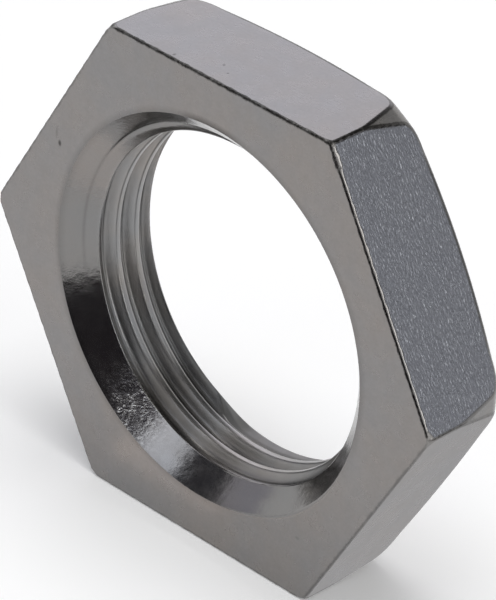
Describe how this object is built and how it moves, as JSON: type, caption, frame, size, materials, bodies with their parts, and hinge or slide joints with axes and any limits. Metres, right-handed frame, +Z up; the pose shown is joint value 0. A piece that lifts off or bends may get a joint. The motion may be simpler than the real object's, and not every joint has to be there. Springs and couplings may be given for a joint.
{
  "type": "thin hexagonal lock nut",
  "caption": "Thin hexagonal lock nut with a fine internal thread, a wide countersink in its bearing face and turned chamfers that leave arcs on its flats.",
  "frame": {"origin": "on the bore axis, half way between the bearing face and the back face", "axes": "+Y along the bore from the countersunk bearing face to the chamfered back face, +Z up through the middle of a flat, X across two corners"},
  "size_m": [0.0346, 0.007, 0.03],
  "materials": {
    "plating": "bright nickel plating over turned metal, satin"
  },
  "bodies": {
    "root": {"lock_nut": "plating"}
  },
  "joints": []
}
